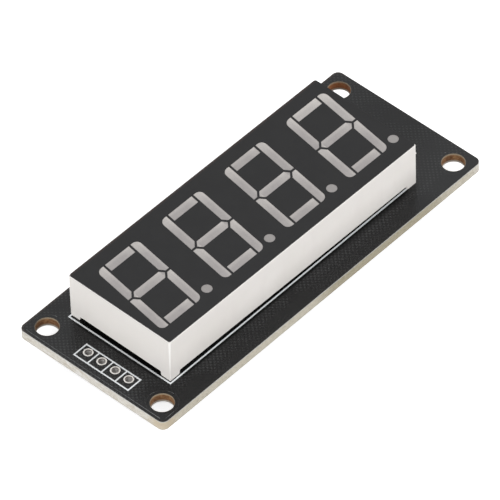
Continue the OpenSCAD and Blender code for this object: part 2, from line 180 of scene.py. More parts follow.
class Finish:
    """A material made of nodes. Lengths on the surface are in millimetres."""

    def __init__(self, name):
        self.material = bpy.data.materials.new(name)
        self.material.use_nodes = True
        self.tree = self.material.node_tree
        self.tree.nodes.clear()
        place = self.node("TexCoord").out("Object")
        self.place = self.node(
            "VectorMath", {"operation": "SCALE"}, {0: place, "Scale": 1 / MM}
        )
        apart = self.node("SeparateXYZ", {}, {0: self.place})
        self.x, self.y, self.z = apart.out("X"), apart.out("Y"), apart.out("Z")

    def node(self, kind, settings=None, inputs=None):
        """Adds a node: its settings first, then its sockets' values or links."""
        made = self.tree.nodes.new("ShaderNode" + kind)
        for name, value in (settings or {}).items():
            setattr(made, name, value)
        for name, value in (inputs or {}).items():
            if isinstance(value, Wire):
                self.tree.links.new(value.socket, made.inputs[name])
            else:
                made.inputs[name].default_value = value
        return Wire(self, made.outputs[0]) if made.outputs else None

    def noise(self, size, detail=2.0, stretch=(1, 1, 1)):
        """Noise from 0 to 1 whose blotches are about this many millimetres."""
        place = self.node(
            "Mapping", {"vector_type": "POINT"}, {0: self.place, "Scale": stretch}
        )
        return self.node(
            "TexNoise", {"noise_dimensions": "3D"},
            {"Vector": place, "Scale": 1 / size, "Detail": detail, "Roughness": 0.55},
        )

    def ease(self, value, start, end):
        """0 before start and 1 after end, with a soft change between them."""
        return self.node(
            "MapRange", {"interpolation_type": "SMOOTHSTEP"},
            {"Value": value, "From Min": start, "From Max": end},
        )

    def blend(self, factor, first, second):
        """A colour between two others."""
        mixed = self.node(
            "Mix", {"data_type": "RGBA", "clamp_factor": True},
            {0: factor, 6: first, 7: second},
        )
        return Wire(self, mixed.socket.node.outputs[2])

    def cloudy(self, noise, first, second):
        """Two colours blended over the middle of a noise's range."""
        return self.blend(self.ease(noise, 0.3, 0.7), first, second)

    def above(self, value, start, end, amount, colour, tone):
        """Lays an amount of a tone over the colour where a value is high."""
        return self.blend(self.ease(value, start, end) * amount, colour, tone)

    def below(self, value, start, end, amount, colour, tone):
        """Lays an amount of a tone over the colour where a value is low."""
        return self.blend((1 - self.ease(value, start, end)) * amount, colour, tone)

    def bump(self, height, depth):
        """A normal from a height of 0 to 1, with its depth in millimetres."""
        return self.node(
            "Bump", {}, {"Height": height, "Distance": depth * MM, "Strength": 1.0}
        )

    def facing(self):
        """The surface's direction, as three numbers."""
        normal = self.node("NewGeometry").out("Normal")
        apart = self.node("SeparateXYZ", {}, {0: normal})
        return apart.out("X"), apart.out("Y"), apart.out("Z")

    def on_display(self, middle):
        """The place along and up the display's face, from a middle on it."""
        x, y = self.x - middle[0], self.y - middle[1]
        return x * DISPLAY_COS + y * DISPLAY_SIN, y * DISPLAY_COS - x * DISPLAY_SIN

    def done(self, **sockets):
        """The finish's surface. Underscores stand for the spaces in socket names."""
        inputs = {name.replace("_", " "): value for name, value in sockets.items()}
        shader = self.node("BsdfPrincipled", {}, inputs)
        self.node("OutputMaterial", {}, {"Surface": shader})
        return self.material


# ---------------------------------------------------------------- the board

# The weave's waves to a millimetre, and the size of the mask's grain
WEAVE_X, WEAVE_Y = 1.4, 1.25
GRAIN = 0.16

# Where each soft change starts and ends: at the rim and the holes' lips in
# millimetres, and the others by direction or by noise
RIM = (0.03, 0.1)
LIP = (0.03, 0.08)
TOP_FACING = (0.5, 0.9)
FLECKED = (0.52, 0.74)
PLY_HIGH, PLY_LOW = (0.54, 0.68), (0.34, 0.46)
TORN_HIGH, TORN_LOW = (0.52, 0.66), (0.34, 0.46)


def mask(f):
    """Black mask over woven glass: its colour with a painted reflection in places, the weave's
    height, the grain.
    """
    wander = f.noise(2.5, 1.0) * 1.5
    row = f.x.math("SINE", f.x * (2 * math.pi * WEAVE_X) + wander)
    column = f.y.math("SINE", f.y * (2 * math.pi * WEAVE_Y) + wander)
    patch = f.ease(f.noise(5.0, 2.0), 0.25, 0.6) * 0.5 + 0.5
    near_side = f.ease(0 - f.y, 10.6, 12.2)
    far_end = f.ease(f.x, 23.0, 26.0)
    near_corner = (1 - f.ease(f.x, -30.0, -25.0)) * f.ease(0 - f.y, 6.5, 9.0)
    plump = 1.3 - near_side * 0.5 - far_end * 0.3 - near_corner * 0.45
    knuckle = (row * column * 0.5 + 0.5) * patch * plump

    grain = f.noise(GRAIN, 2.0)
    colour = f.blend(f.ease(grain, 0.25, 0.75), srgb(9, 10, 12), srgb(17, 18, 20))
    # Painted reflection: the glossy mask is painted paler at the far end and its corners, and
    # at the header end towards +Y, where it would mirror bright surroundings.
    far_corners = f.ease(0 - f.y, 2.0, 7.0) * 0.35 + f.ease(f.y, 3.0, 8.0) * 0.15
    painted_light = f.ease(f.x, 21.0, 25.0) * far_corners
    painted_light = painted_light + (1 - f.ease(f.x, -30.0, -26.0)) * f.ease(f.y, 2.0, 9.0) * 0.12
    colour = f.blend(painted_light, colour, srgb(44, 45, 46))
    colour = f.above(knuckle, 0.45, 1.1, 0.65, colour, srgb(61, 62, 63))
    return colour, knuckle, grain


def mask_finish():
    """Mask where it lies over the edges of the copper, painted lighter than the bare mask as a
    painted sheen so that the low ridges show.
    """
    f = Finish("mask_over_copper")
    colour, _, grain = mask(f)
    return f.done(
        # Painted sheen: blended four tenths of the way to a lighter grey.
        Base_Color=f.blend(0.4, colour, srgb(46, 47, 48)),
        Roughness=0.22 + grain * 0.06,
        Normal=f.bump(grain, 0.004),
        IOR=1.42,
    )


def gleam_finish():
    """Mask over the copper's shoulder, lightened in patches: a painted glint where the ridge
    catches the light.
    """
    f = Finish("painted_glint_mask")
    colour, _, grain = mask(f)
    glint = f.ease(f.noise(0.5, 2.0), 0.35, 0.65)
    colour = f.blend(glint * 0.6 + 0.4, colour, srgb(92, 94, 95))
    return f.done(
        Base_Color=colour, Roughness=0.24 + grain * 0.08, Normal=f.bump(grain, 0.003), IOR=1.45
    )


def from_outline(f):
    """How far in a point lies from the board's rounded outline."""
    across = abs(f.x) - (BOARD_HALF_L - BOARD_CORNER)
    along = abs(f.y) - (BOARD_HALF_W - BOARD_CORNER)
    out_x = across.math("MAXIMUM", across, 0.0)
    out_y = along.math("MAXIMUM", along, 0.0)
    corner = out_x.math("SQRT", out_x * out_x + out_y * out_y)
    flat = across.math("MINIMUM", across.math("MAXIMUM", across, along), 0.0)
    return BOARD_CORNER - (corner + flat)


def from_hole_wall(f):
    """How far out a point lies from the nearest mounting hole's wall."""
    hole_x = abs(f.x) - MOUNT_X
    hole_y = abs(f.y) - MOUNT_Y
    return hole_x.math("SQRT", hole_x * hole_x + hole_y * hole_y) - MOUNT_R


def under_display(f, x, y, top):
    """Where shade is painted: 1 on the board's top face under the display, where little light
    comes.
    """
    wall_y = HOUSING_HALF[1] - SIDE_DRAFT
    within_x = 1 - f.ease(abs(x), HOUSING_HALF[0], HOUSING_HALF[0] + 0.5)
    within_y = 1 - f.ease(abs(y), wall_y - 0.3, wall_y)
    return within_x * within_y * top


def outline_shade(f, x, y, top):
    """The narrow shade that lies just outside the printed outline, between the
    feet, and a wider and softer one along the near side of the far half."""
    past_x, past_y = (
        abs(at - (low + high) / 2) - (high - low) / 2
        for at, low, high in zip((f.x, f.y), OUTLINE_LOW, OUTLINE_HIGH)
    )
    past = past_x.math("MAXIMUM", past_x, past_y)
    open_x, open_y = (
        1 - f.ease(abs(at), half - FOOT - 0.4, half - FOOT + 0.6)
        for at, half in zip((x, y), HOUSING_HALF)
    )
    narrow = f.ease(past, 0.0, 0.1) * (1 - f.ease(past, 0.25, 0.6))
    narrow = narrow * past.math("MAXIMUM", open_x, open_y) * top
    wide = f.ease(past, 0.0, 0.1) * (1 - f.ease(past, 0.1, 1.5)) * f.ease(0 - f.y, 9.0, 9.4)
    wide = wide * f.ease(f.x, 0.0, 14.0) * (1 - f.ease(f.x, 22.0, 25.0)) * 0.6
    return narrow.math("MAXIMUM", narrow, wide)


def cut_edge(f, side_on, layers, flecks):
    """The laminate's cut edge with painted light: a pale, lit copy on the end faces
    and a browner, shaded copy on the long sides, darkest from the middle to near the far end."""
    plies = f.noise(0.7, 2.0, (0.5, 0.5, 2.0))
    # Painted light: the pale, lit copy of the cut.
    lit_end_faces = f.cloudy(layers, srgb(194, 189, 178), srgb(222, 218, 210))
    lit_end_faces = f.above(flecks, *FLECKED, 0.5, lit_end_faces, srgb(172, 163, 144))
    lit_end_faces = f.above(plies, *PLY_HIGH, 0.5, lit_end_faces, srgb(178, 165, 150))
    lit_end_faces = f.below(plies, *PLY_LOW, 0.6, lit_end_faces, srgb(230, 228, 226))

    # Painted shade: the darker, shaded copy of the cut.
    shaded_long_sides = f.cloudy(layers, srgb(180, 174, 158), srgb(206, 199, 185))
    # Darker and browner from the middle of the long sides to near the far end.
    darker_stretch = f.ease(f.x, -4.0, 3.0) * (1 - f.ease(f.x, 20.5, 28.0))
    darker_stretch_tone = f.cloudy(layers, srgb(148, 141, 120), srgb(176, 168, 148))
    shaded_long_sides = f.blend(darker_stretch, shaded_long_sides, darker_stretch_tone)
    shaded_long_sides = f.above(flecks, *FLECKED, 0.5, shaded_long_sides, srgb(138, 128, 102))

    near_end = f.ease(abs(f.x), BOARD_HALF_L - 3.5, BOARD_HALF_L - 0.4) * 0.75
    # Painted light: faces that look along Y take the shaded copy, except near the ends.
    cut = f.blend(f.ease(abs(side_on), 0.55, 0.85) * (1 - near_end), lit_end_faces, shaded_long_sides)
    corner = BOARD_HALF_L + BOARD_HALF_W
    cut = f.above(0 - f.x - f.y, corner - 3.4, corner - 1.2, 0.6, cut, srgb(186, 168, 136))
    # Painted highlight: a pale blue-grey line along the top of the cut, where the mask's edge
    # catches the light.
    cut = f.above(f.z, BOARD_T - 0.2, BOARD_T - 0.1, 0.65, cut, srgb(188, 194, 197))
    return f.below(f.z, 0.06, 0.14, 0.5, cut, srgb(158, 159, 157))


def drilled_wall(f, flecks):
    """A mounting hole's wall: brown, torn in places, redder at the far hole,
    with a grey band under the mask and paler towards the back."""
    bored = f.cloudy(flecks, srgb(108, 72, 42), srgb(146, 109, 74))
    torn = f.noise(0.9, 2.0, (1, 1, 0.6))
    bored = f.above(torn, *TORN_HIGH, 0.5, bored, srgb(168, 128, 88))
    bored = f.below(torn, *TORN_LOW, 0.45, bored, srgb(92, 54, 27))
    far_hole = f.ease(f.x, 10.0, 20.0) * f.ease(f.y, 2.0, 8.0)
    bored = f.blend(far_hole * 0.6, bored, srgb(154, 92, 52))
    bored = f.above(f.z, BOARD_T - 0.34, BOARD_T - 0.14, 0.75, bored, srgb(164, 152, 130))
    return f.blend(1 - f.ease(f.z, 0.12, 0.5), bored, srgb(196, 190, 180))


def board_finish():
    """Black mask on both faces, cream cut edges and brown drilled walls."""
    f = Finish("black_board")
    from_edge = from_outline(f)
    from_hole = from_hole_wall(f)
    _, side_on, up = f.facing()
    face = f.ease(abs(up), 0.55, 0.8)
    top = f.ease(up, *TOP_FACING)

    skin, knuckle, grain = mask(f)
    skin = f.below(from_edge, *RIM, 0.45, skin, srgb(104, 92, 82))
    far_rim = (1 - f.ease(from_edge, 0.0, 0.4)) * f.ease(f.y, 11.0, 13.2)
    skin = f.blend(far_rim * 0.3, skin, srgb(112, 94, 86))
    skin = f.below(from_hole, *LIP, 0.8, skin, srgb(132, 120, 104))
    x, y = f.on_display(HOUSING_MID)
    # Painted shade: the mask under the display is darkened nearly to black.
    skin = f.blend(under_display(f, x, y, top), skin, srgb(9, 9, 9))
    shade = outline_shade(f, x, y, top)
    skin = f.blend(shade, skin, srgb(3, 3, 3))

    layers = f.noise(GRAIN, 3.0, (0.35, 0.35, 2.0))
    flecks = f.noise(0.32, 3.0, (1, 1, 1.4))
    cut = cut_edge(f, side_on, layers, flecks)
    bored = drilled_wall(f, flecks)
    side = f.blend(1 - f.ease(from_hole, 0.2, 0.4), cut, bored)

    height = (knuckle + grain * 0.25) * face + layers * (1 - face) * 3.0
    return f.done(
        Base_Color=f.blend(face, side, skin),
        Roughness=0.8 - face * 0.62 + grain * 0.05 * face + shade * 0.5,
        Normal=f.bump(height, 0.012),
        IOR=1.375,
    )


# ---------------------------------------------------------------- the display


def housing_finish():
    """White moulded plastic with a fine satin grain and faint flow marks,
    greyer towards the face, with painted shade on the end wall towards the header and painted
    highlights along its rounded edges."""
    f = Finish("white_plastic")
    cloud = f.noise(6.0, 2.0)
    flow = f.noise(1.6, 2.0, (1, 1, 0.25))
    grain = f.noise(0.09, 2.0)
    grey = srgb(226, 223, 219)
    colour = f.cloudy(cloud, srgb(236, 232, 227), srgb(240, 236, 232))
    colour = f.above(flow, 0.45, 0.75, 0.5, colour, srgb(234, 229, 225))
    colour = f.above(grain, 0.62, 0.8, 0.4, colour, srgb(226, 220, 214))
    colour = f.above(f.z, 5.0, 9.2, 0.6, colour, grey)
    end_on, side_on, up = f.facing()
    # Painted shade: the end wall that faces -X, towards the header, is greyed, more so towards
    # its ends.
    ends = f.ease(abs(f.y - HOUSING_MID[1]), 3.0, 8.0) * 0.2 + 0.3
    colour = f.above(0 - end_on, 0.6, 0.9, ends, colour, grey)
    # Painted highlight: the rounded upright edges, and less the rounded top edge, are blended
    # toward near white.
    upright = f.ease(abs(end_on * side_on), 0.15, 0.4)
    rim = f.ease(up, 0.25, 0.45) * (1 - f.ease(up, 0.85, 0.98))
    painted_highlight = upright.math("MAXIMUM", upright, rim * 0.4)
    colour = f.blend(painted_highlight * 0.8, colour, srgb(252, 250, 248))
    return f.done(
        Base_Color=colour,
        Roughness=0.42 + flow * 0.12,
        Normal=f.bump(grain, 0.004),
        IOR=1.42,
    )


def film_finish():
    """Dull black print on the face, a little uneven, with a soft tooth. Its far
    long edge is paler and browner."""
    f = Finish("black_film")
    blotch = f.noise(2.2, 3.0)
    tooth = f.noise(0.12, 2.0)
    colour = f.cloudy(blotch, srgb(36, 36, 37), srgb(41, 41, 42))
    colour = f.above(tooth, 0.55, 0.8, 0.5, colour, srgb(52, 51, 51))
    _, up = f.on_display(FACE_MID)
    colour = f.above(up, 9.0, 9.5, 0.3, colour, srgb(112, 88, 78))
    return f.done(
        Base_Color=colour,
        Roughness=0.62 + blotch * 0.12,
        Normal=f.bump(tooth, 0.006),
        IOR=1.45,
    )


# Where the last digit and a digit's top bar begin, and how many shares of painted
# light bring the resin to its palest tone
LAST_DIGIT = (11.0, 12.0)
TOP_BAR = (5.4, 5.6)
FULLY_PALE = 40


def segment_paleness(f, along, up, upright):
    """How much painted light the resin has in a segment, from 0 to 1. It is painted
    paler towards the upper and right hand end of each segment, standing in for light
    from the white well walls under it. The last digit's upper segments are paler than the
    others'."""
    upper = f.ease(up, -0.3, -0.1)
    tops = f.ease(up, 3.4, 7.4) * 26 * upper + f.ease(up, -3.9, -0.2) * 21 * (1 - upper)
    foot = f.ease(0 - up, 5.0, 7.4) * 6
    from_line = along - along.math("SIGN", along) * UPRIGHT_LINE
    stand = tops + foot + f.ease(from_line, 0.0, 0.75) * 16
    from_bar = up - BAR_SPACING * upper.math("ROUND", up / BAR_SPACING)
    lie = f.ease(along, 0.3, 2.4) * 14 + f.ease(from_bar, -0.1, 0.75) * 17
    top_bar = f.ease(up, *TOP_BAR) * 18 * (1 - upright)
    upper_right = upper * f.ease(along, 0.0, 0.1) * 10 * upright
    last = f.ease(f.x, *LAST_DIGIT) * (top_bar + upper_right)
    return (lie + (stand - lie) * upright + last) / FULLY_PALE


def resin_finish():
    """Milky resin, clouded with a fine diffusing powder."""
    f = Finish("milky_resin")
    along, up = f.on_display(FACE_MID)
    up = up + DIGIT_LOW
    along = along - up * DIGIT_SLANT + DIGIT_PITCH / 2
    along = along - DIGIT_PITCH * along.math("ROUND", along / DIGIT_PITCH)
    upright = f.ease(abs(along), *UPRIGHT_INSIDE)
    painted_light = segment_paleness(f, along, up, upright)
    dot = f.ease(abs(along), *POINT_INSIDE)

    cloud = f.noise(1.1, 3.0)
    powder = f.noise(0.1, 2.0)
    streak = f.noise(0.2, 1.0, (1, 0.4, 1))
    colour = f.cloudy(cloud, srgb(172, 167, 166), srgb(178, 173, 171))
    # Painted light: the segments are blended toward a pale tone by their share of painted
    # light.
    colour = f.blend(painted_light * (1 - dot), colour, srgb(219, 214, 209))
    colour = f.blend(dot * 0.8, colour, srgb(160, 156, 154))
    colour = f.above(powder, 0.45, 0.75, 0.4, colour, srgb(161, 155, 154))
    colour = f.above(streak, 0.55, 0.8, 0.3, colour, srgb(196, 191, 186))
    return f.done(
        Base_Color=colour,
        Roughness=0.42 + powder * 0.1,
        Normal=f.bump(powder, 0.006),
        IOR=1.5,
    )


# ---------------------------------------------------------------- small parts


def header_radius(f):
    """How far a point lies from the middle line of the nearest header hole."""
    middle_y = sum(y for _, y in HEADER) / len(HEADER)
    pitch = abs(HEADER[1][1] - HEADER[0][1])
    column = f.x - HEADER[0][0]
    row = f.y - (middle_y + pitch / 2)
    row = row - pitch * row.math("ROUND", row / pitch)
    return column.math("SQRT", column * column + row * row)


def metal_finish(name, dull, bright, roughness, size, depth, bore=0.0):
    """Tinned metal: a bright skin with duller crystals and small dents.
    Inside a header hole of this bore the tin is dull and stained, with painted shade on the
    walls that face -Y and a dark brown line at the mouth."""
    f = Finish(name)
    crystals = f.noise(size, 3.0)
    scratches = f.noise(size / 3, 2.0, (1, 0.3, 1))
    colour = f.cloudy(crystals, dull, bright)
    rough = roughness + f.ease(scratches, 0.4, 0.8) * 0.18
    metal = 1.0
    if bore:
        inside = 1 - f.ease(header_radius(f), bore / 2 + 0.01, bore / 2 + 0.05)
        barrel_stain_and_shade = f.blend(f.ease(crystals, 0.35, 0.7), srgb(206, 203, 200), srgb(236, 234, 231))
        _, side_on, _ = f.facing()
        # Painted shade: the barrel's walls that face -Y are darkened.
        barrel_stain_and_shade = f.above(0 - side_on, 0.2, 1.0, 0.47, barrel_stain_and_shade, srgb(124, 121, 122))
        mouth = f.ease(f.z, BOARD_T - 0.16, BOARD_T - 0.04)
        barrel_stain_and_shade = f.blend(mouth, barrel_stain_and_shade, srgb(74, 58, 50))
        colour = f.blend(inside, colour, barrel_stain_and_shade)
        rough = rough + inside * 0.25
        metal = 1 - inside * 0.7
    return f.done(
        Base_Color=colour, Metallic=metal, Roughness=rough, Normal=f.bump(crystals, depth)
    )


def moulding_finish():
    """Black epoxy moulding with the fine pitted grain of a chip body."""
    f = Finish("black_moulding")
    pits = f.noise(0.14, 3.0)
    cloud = f.noise(1.8, 2.0)
    colour = f.cloudy(cloud, srgb(40, 40, 41), srgb(48, 48, 49))
    colour = f.above(pits, 0.6, 0.8, 0.5, colour, srgb(66, 66, 67))
    return f.done(
        Base_Color=colour, Roughness=0.58 + pits * 0.16, Normal=f.bump(pits, 0.012), IOR=1.5
    )


def coat_finish(name, dark, light, speck, roughness, size):
    """A fired or glazed coat with specks in it."""
    f = Finish(name)
    cloud = f.noise(size * 4, 2.0)
    grains = f.noise(size, 3.0)
    colour = f.cloudy(cloud, dark, light)
    colour = f.above(grains, 0.58, 0.78, 0.6, colour, speck)
    return f.done(
        Base_Color=colour,
        Roughness=roughness + grains * 0.12,
        Normal=f.bump(grains, 0.006),
        IOR=1.5,
    )


def ink_finish():
    """White legend ink: opaque, faintly blue, thinner in places."""
    f = Finish("legend_ink")
    thin = f.noise(0.3, 3.0)
    speck = f.noise(0.1, 2.0)
    colour = f.cloudy(thin, srgb(245, 250, 254), srgb(251, 254, 255))
    colour = f.above(speck, 0.64, 0.8, 0.4, colour, srgb(214, 220, 224))
    return f.done(
        Base_Color=colour, Roughness=0.55 + thin * 0.1, Normal=f.bump(speck, 0.004), IOR=1.5
    )


FINISHES = {
    "black_board": board_finish(),
    "white_plastic": housing_finish(),
    "black_film": film_finish(),
    "milky_resin": resin_finish(),
    "tinned_copper": metal_finish(
        "tinned_copper", dull=srgb(226, 224, 221), bright=srgb(250, 249, 247),
        roughness=0.24, size=0.25, depth=0.01, bore=HEADER_BORE),
    "tinned_lead": metal_finish(
        "tinned_lead", dull=srgb(188, 186, 182), bright=srgb(212, 210, 206),
        roughness=0.32, size=0.2, depth=0.008),
    "solder": metal_finish(
        "solder", dull=srgb(182, 181, 178), bright=srgb(214, 213, 210),
        roughness=0.2, size=0.3, depth=0.012),
    "tinned_end": metal_finish(
        "tinned_end", dull=srgb(190, 188, 184), bright=srgb(210, 208, 204),
        roughness=0.34, size=0.15, depth=0.008),
    "black_moulding": moulding_finish(),
    "green_laminate": coat_finish(
        "green_laminate", dark=srgb(92, 108, 64), light=srgb(110, 124, 78),
        speck=srgb(140, 146, 104), roughness=0.5, size=0.2),
    "lamp_chip": coat_finish(
        "lamp_chip", dark=srgb(206, 186, 140), light=srgb(222, 204, 160),
        speck=srgb(170, 150, 104), roughness=0.4, size=0.05),
    "resistor_coat": coat_finish(
        "resistor_coat", dark=srgb(36, 36, 39), light=srgb(46, 46, 49),
        speck=srgb(70, 70, 74), roughness=0.34, size=0.08),
    "capacitor_ceramic": coat_finish(
        "capacitor_ceramic", dark=srgb(172, 142, 104), light=srgb(186, 156, 118),
        speck=srgb(146, 116, 80), roughness=0.6, size=0.1),
}
INK = ink_finish()
MASK = mask_finish()
GLEAM = gleam_finish()

# The finish of each CAD node, by how its name starts
SLOTS = {
    "printed_board": "black_board", "header_eyelet": "tinned_copper",
    "pin_eyelets": "tinned_copper", "surface_pads": "tinned_copper",
    "reflector_housing": "white_plastic", "face_film": "black_film",
    "resin_fill": "milky_resin", "lamp_board": "green_laminate",
    "digit_lamps": "lamp_chip", "display_pin": "tinned_lead",
    "pin_solder": "solder", "driver_body": "black_moulding",
    "driver_leads": "tinned_lead", "resistor_ends": "tinned_end",
    "capacitor_ends": "tinned_end", "surface_solder": "solder",
    "resistor": "resistor_coat", "capacitor": "capacitor_ceramic",
}
for name, node in nodes.items():
    slot = next(slot for start, slot in SLOTS.items() if name.startswith(start))
    node.data.materials.clear()
    node.data.materials.append(FINISHES[slot])

# ---------------------------------------------------------------- making pieces

# Points nearer than this are one, in metres.
MERGE = 1e-7
RIDGE_ROUNDING = 2


def start_piece():
    """Nothing is selected and nothing is being edited."""
    if bpy.context.object and bpy.context.object.mode != "OBJECT":
        bpy.ops.object.mode_set(mode="OBJECT")
    bpy.ops.object.select_all(action="DESELECT")


def settle(piece, name, finish):
    """Puts the piece's place into its mesh, names it and makes it ride."""
    start_piece()
    piece.select_set(True)
    bpy.context.view_layer.objects.active = piece
    bpy.ops.object.transform_apply(location=True, rotation=True, scale=True)
    bpy.ops.object.mode_set(mode="EDIT")
    bpy.ops.mesh.select_all(action="SELECT")
    bpy.ops.mesh.remove_doubles(threshold=MERGE)
    bpy.ops.mesh.normals_make_consistent(inside=False)
    bpy.ops.object.mode_set(mode="OBJECT")
    piece.name = piece.data.name = name
    piece.data.materials.clear()
    piece.data.materials.append(finish)
    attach(piece, "root")


def join(parts):
    """Makes one piece of several."""
    start_piece()
    for part in parts:
        part.select_set(True)
    bpy.context.view_layer.objects.active = parts[0]
    if len(parts) > 1:
        bpy.ops.object.join()
    return bpy.context.object


def inked_box(low, high, width, under, over):
    """A printed rectangle: a plane, inset by the line's width and raised.
    Without a width the whole plane is printed."""
    start_piece()
    middle = [(a + b) / 2 * MM for a, b in zip(low, high)]
    bpy.ops.mesh.primitive_plane_add(size=MM, location=(*middle, under * MM))
    piece = bpy.context.object
    piece.scale = (high[0] - low[0], high[1] - low[1], 1)
    bpy.ops.object.transform_apply(location=True, rotation=True, scale=True)
    bpy.ops.object.mode_set(mode="EDIT")
    bpy.ops.mesh.select_all(action="SELECT")
    if width:
        bpy.ops.mesh.inset(thickness=width * MM, use_even_offset=True)
        bpy.ops.mesh.delete(type="FACE")
        bpy.ops.mesh.select_all(action="SELECT")
    bpy.ops.mesh.extrude_region_move(
        TRANSFORM_OT_translate={"value": (0, 0, (over - under) * MM)}
    )
    bpy.ops.object.mode_set(mode="OBJECT")
    return piece


def ridge(points, width, height, level, closed=False):
    """A low rounded ridge where copper runs under the mask."""
    start_piece()
    curve = bpy.data.curves.new("ridge", "CURVE")
    curve.dimensions = "3D"
    curve.bevel_depth = width / 2 * MM
    curve.bevel_resolution = RIDGE_ROUNDING
    curve.use_fill_caps = not closed
    line = curve.splines.new("POLY")
    line.points.add(len(points) - 1)
    for point, (x, y) in zip(line.points, points):
        point.co = (x * MM, y * MM, 0, 1)
    line.use_cyclic_u = closed
    piece = bpy.data.objects.new("ridge", curve)
    bpy.context.scene.collection.objects.link(piece)
    piece.select_set(True)
    bpy.context.view_layer.objects.active = piece
    bpy.ops.object.convert(target="MESH")
    piece = bpy.context.object
    piece.scale = (1, 1, height / (width / 2))
    piece.location = (0, 0, level * MM)
    bpy.ops.object.transform_apply(location=True, rotation=True, scale=True)
    return piece


def arc(x, y, radius, first, last, steps):
    """Points on a circle, from the first angle to the last, in degrees."""
    turns = [math.radians(first + (last - first) * i / steps) for i in range(steps + 1)]
    return [(x + radius * math.cos(turn), y + radius * math.sin(turn)) for turn in turns]


# ---------------------------------------------------------------- printed legend

INK_UNDER = BOARD_T - 0.005
INK_OVER = BOARD_T + 0.02
display_box = inked_box(OUTLINE_LOW, OUTLINE_HIGH, OUTLINE_W, INK_UNDER, INK_OVER)
settle(display_box, "display_outline", INK)

# The header's box, with a bar between each two of its holes
cell = (LEGEND_HIGH[1] - LEGEND_LOW[1]) / len(HEADER)
header_box = [inked_box(LEGEND_LOW, LEGEND_HIGH, LEGEND_W, INK_UNDER, INK_OVER)]
for step in range(1, len(HEADER)):
    bar_y = LEGEND_LOW[1] + step * cell
    header_box.append(inked_box(
        (LEGEND_LOW[0] + LEGEND_W, bar_y - LEGEND_W / 2),
        (LEGEND_HIGH[0] - LEGEND_W, bar_y + LEGEND_W / 2), 0, INK_UNDER, INK_OVER,
    ))
settle(join(header_box), "header_outline", INK)

# ---------------------------------------------------------------- copper relief

LINE_W = 0.12
PLAIN_HEIGHT = 0.006
GLEAM_HEIGHT = 0.014
RING_R = 2.27
RING_POINTS = 40
BORDER_INSET = 0.5
BORDER_X, BORDER_Y = BOARD_HALF_L - BORDER_INSET, BOARD_HALF_W - BORDER_INSET
BORDER_TURN = 0.9
TURN_STEPS = 6


def hole_rings(level):
    """The copper's edge round each of the four mounting holes."""
    last = 360 - 360 / RING_POINTS
    return [
        ridge(
            arc(sx * MOUNT_X, sy * MOUNT_Y, RING_R, 0, last, RING_POINTS - 1),
            LINE_W, PLAIN_HEIGHT, level, True,
        )
        for sx in (-1, 1) for sy in (-1, 1)
    ]


def half_border():
    """Half of the copper's border: from the middle of one long side round the
    header end, as far as the last corner."""
    turn_x, turn_y = BORDER_TURN - BORDER_X, BORDER_Y - BORDER_TURN
    return (
        [(0, BORDER_Y)]
        + arc(turn_x, turn_y, BORDER_TURN, 90, 180, TURN_STEPS)
        + arc(turn_x, -turn_y, BORDER_TURN, 180, 270, TURN_STEPS)
    )


settle(join(hole_rings(BOARD_T)), "copper_relief_front", MASK)

# Painted glints on the copper's edge at the header end and round the holes: short stretches of
# ridge in a lightened finish. The line is lost round the corner towards -Y and fades out at
# the one towards +Y.
END_LINE_STOP = 0.6
SIDE_LINE = (0.5, 2.2)
SIDE_LINE_W = LINE_W * 0.8
SHOULDERS = (
    # the hole's side along X and Y, and the first and the last angle
    (-1, 1, 6, 25),
    (-1, -1, -1, 21),
    (-1, -1, 71, 92),
    (1, -1, 68, 75),
)
far_turn = arc(BORDER_TURN - BORDER_X, BORDER_Y - BORDER_TURN, BORDER_TURN, 150, 180, 3)
end_line = far_turn + [(-BORDER_X, END_LINE_STOP - BORDER_Y)]
side_line = [(x - BORDER_X, -BORDER_Y) for x in SIDE_LINE]
# The ridges that carry the painted glints.
thin = [
    ridge(end_line, LINE_W, GLEAM_HEIGHT, BOARD_T),
    ridge(side_line, SIDE_LINE_W, GLEAM_HEIGHT, BOARD_T),
]
for sx, sy, first, last in SHOULDERS:
    shoulder = arc(sx * MOUNT_X, sy * MOUNT_Y, RING_R, first, last, TURN_STEPS)
    thin.append(ridge(shoulder, LINE_W, GLEAM_HEIGHT, BOARD_T))
settle(join(thin), "copper_edge_front", GLEAM)

# ---------------------------------------------------------------- underside

BACK_UNDER, BACK_OVER = 0.005, -0.02
THIN_INK_W = 0.16

# How far each printed outline stands off its part. The chip's runs in below
# its sides, where the leads leave it no room.
CHIP_END_GAP, CHIP_SIDE_GAP = 0.45, -0.5
PART_END_GAP, PART_SIDE_GAP = 0.8, 0.4

prints = [inked_box(
    (CHIP_LOW[0] - CHIP_END_GAP, CHIP_LOW[1] - CHIP_SIDE_GAP),
    (CHIP_HIGH[0] + CHIP_END_GAP, CHIP_HIGH[1] + CHIP_SIDE_GAP),
    THIN_INK_W, BACK_UNDER, BACK_OVER,
)]
for name in ("resistor_1", "resistor_2", "capacitor_1", "capacitor_2", "capacitor_3"):
    low, high = span(name)
    if high[0] - low[0] > high[1] - low[1]:
        gap_x, gap_y = PART_END_GAP, PART_SIDE_GAP
    else:
        gap_x, gap_y = PART_SIDE_GAP, PART_END_GAP
    prints.append(inked_box(
        (low[0] - gap_x, low[1] - gap_y), (high[0] + gap_x, high[1] + gap_y),
        THIN_INK_W, BACK_UNDER, BACK_OVER,
    ))
settle(join(prints), "part_outlines", INK)
header_box_back = inked_box(LEGEND_LOW, LEGEND_HIGH, LEGEND_W, BACK_UNDER, BACK_OVER)
settle(header_box_back, "header_outline_back", INK)

